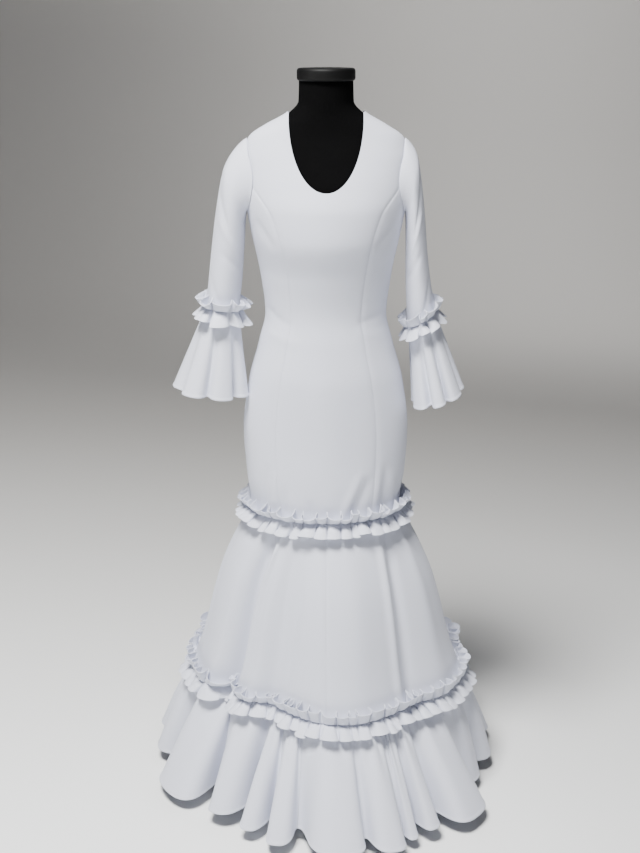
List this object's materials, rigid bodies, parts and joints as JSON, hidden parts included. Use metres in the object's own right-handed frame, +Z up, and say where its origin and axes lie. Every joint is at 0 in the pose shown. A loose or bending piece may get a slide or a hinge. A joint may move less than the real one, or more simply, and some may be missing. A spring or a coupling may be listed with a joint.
{
  "type": "flamenco dress on a dress form",
  "caption": "Floor-length fitted dress with princess seams, bell-cuffed three-quarter sleeves, a flared tier, a folded bottom flounce and gathered ruches, on a limbless form with a tripod",
  "frame": {"origin": "on the floor under the middle of the dress", "axes": "+Z up, the front of the dress faces -Y, the wearer's left is +X"},
  "size_m": [0.762, 0.8625, 1.523],
  "materials": {
    "crepe": "matte white crepe with a faint sheen",
    "form_jersey": "black stretch jersey cover",
    "form_cap": "satin black",
    "stand_steel": "satin black paint",
    "stand_wood": "dark red-brown varnish, satin"
  },
  "bodies": {
    "root": {"front_centre": "crepe", "front_side_left": "crepe", "front_side_right": "crepe", "back_side_left": "crepe", "back_side_right": "crepe", "back_left": "crepe", "back_right": "crepe", "sleeve_left": "crepe", "sleeve_right": "crepe", "cuff_flounce_left": "crepe", "cuff_flounce_right": "crepe", "sleeve_ruche_left": "crepe", "sleeve_ruche_right": "crepe", "skirt_front_left": "crepe", "skirt_front_right": "crepe", "skirt_back_left": "crepe", "skirt_back_right": "crepe", "ruche_upper": "crepe", "ruche_lower": "crepe", "flounce_front_left": "crepe", "flounce_front_right": "crepe", "flounce_back_left": "crepe", "flounce_back_right": "crepe", "form_torso": "form_jersey", "form_neck_cap": "form_cap", "stand_pole": "stand_steel", "stand_hub": "stand_wood", "stand_leg_front": "stand_wood", "stand_leg_side": "stand_wood", "stand_leg_back": "stand_wood"}
  },
  "joints": []
}
